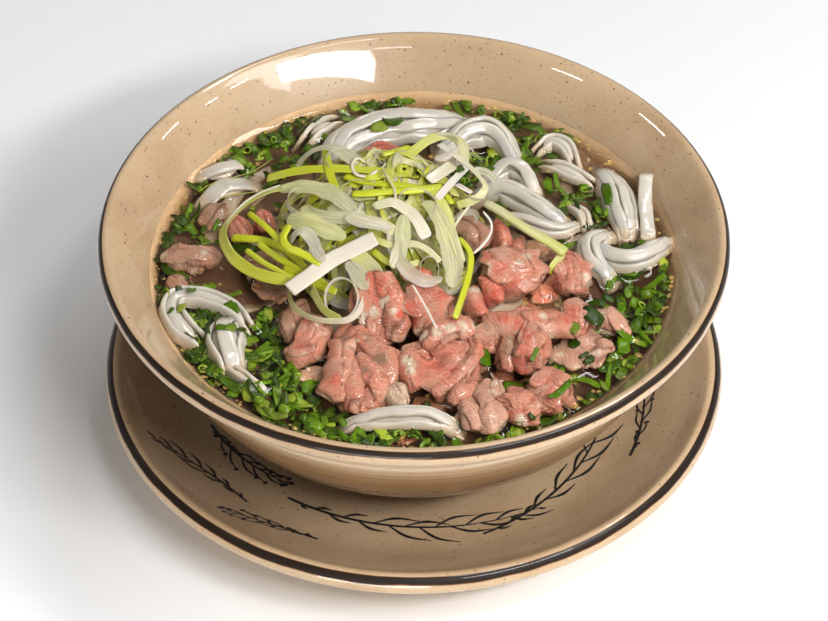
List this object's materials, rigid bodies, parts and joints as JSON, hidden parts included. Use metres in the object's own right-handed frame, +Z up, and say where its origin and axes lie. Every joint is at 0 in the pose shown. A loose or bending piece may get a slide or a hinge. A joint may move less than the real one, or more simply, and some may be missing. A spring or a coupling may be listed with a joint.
{
  "type": "pho noodle soup",
  "caption": "Stoneware bowl of pho on its matching under-plate: brown broth, rice noodles, folded slices of rare beef and a heap of shredded scallion.",
  "frame": {"origin": "middle of the plate's foot ring, on the table", "axes": "+Z up, -Y towards the person who eats, +X to their right"},
  "size_m": [0.223, 0.223, 0.0938],
  "materials": {
    "stoneware": "glossy speckled tan glaze with a dark brown line under the lip",
    "broth": "clear brown broth, glossy",
    "beef": "wet rare beef, pink with paler edges",
    "rice_noodle": "wet, milky, slightly translucent",
    "scallion": "damp fibrous leaf, yellow-green to white"
  },
  "bodies": {
    "root": {"beef_arch": "beef", "beef_back": "beef", "beef_bean": "beef", "beef_big_fold": "beef", "beef_bit_back": "beef", "beef_brown": "beef", "beef_crumple_left": "beef", "beef_crumpled_strips": "beef", "beef_cup": "beef", "beef_curl": "beef", "beef_curved": "beef", "beef_dull_right": "beef", "beef_fan": "beef", "beef_flat_middle": "beef", "beef_folded_front": "beef", "beef_grey": "beef", "beef_hook": "beef", "beef_left": "beef", "beef_left_bit": "beef", "beef_mauve": "beef", "beef_pale_right": "beef", "beef_pink_lumps": "beef", "beef_ragged": "beef", "beef_red_lump": "beef", "beef_right": "beef", "beef_ruffled": "beef", "beef_sunk_front": "beef", "beef_sunk_right": "beef", "beef_under_curls": "beef", "beef_upright": "beef", "beef_wedge": "beef", "bowl": "stoneware", "broth": "broth", "noodle_edge": "rice_noodle", "noodle_far_right": "rice_noodle", "noodle_left_tail": "rice_noodle", "noodle_mid_right": "rice_noodle", "noodle_small_right": "rice_noodle", "noodles_back": "rice_noodle", "noodles_back_left": "rice_noodle", "noodles_back_lump": "rice_noodle", "noodles_back_right": "rice_noodle", "noodles_comb": "rice_noodle", "noodles_fold": "rice_noodle", "noodles_front": "rice_noodle", "noodles_left_back": "rice_noodle", "noodles_left_bundle": "rice_noodle", "noodles_left_loop": "rice_noodle", "noodles_ring": "rice_noodle", "noodles_thin": "rice_noodle", "noodles_wide": "rice_noodle", "plate": "stoneware", "scallion_heap": "scallion", "scallion_loop": "scallion", "scallion_low_loop": "scallion", "scallion_right_strip": "scallion", "scallion_stalk": "scallion", "scallion_white_strip": "scallion"}
  },
  "joints": []
}
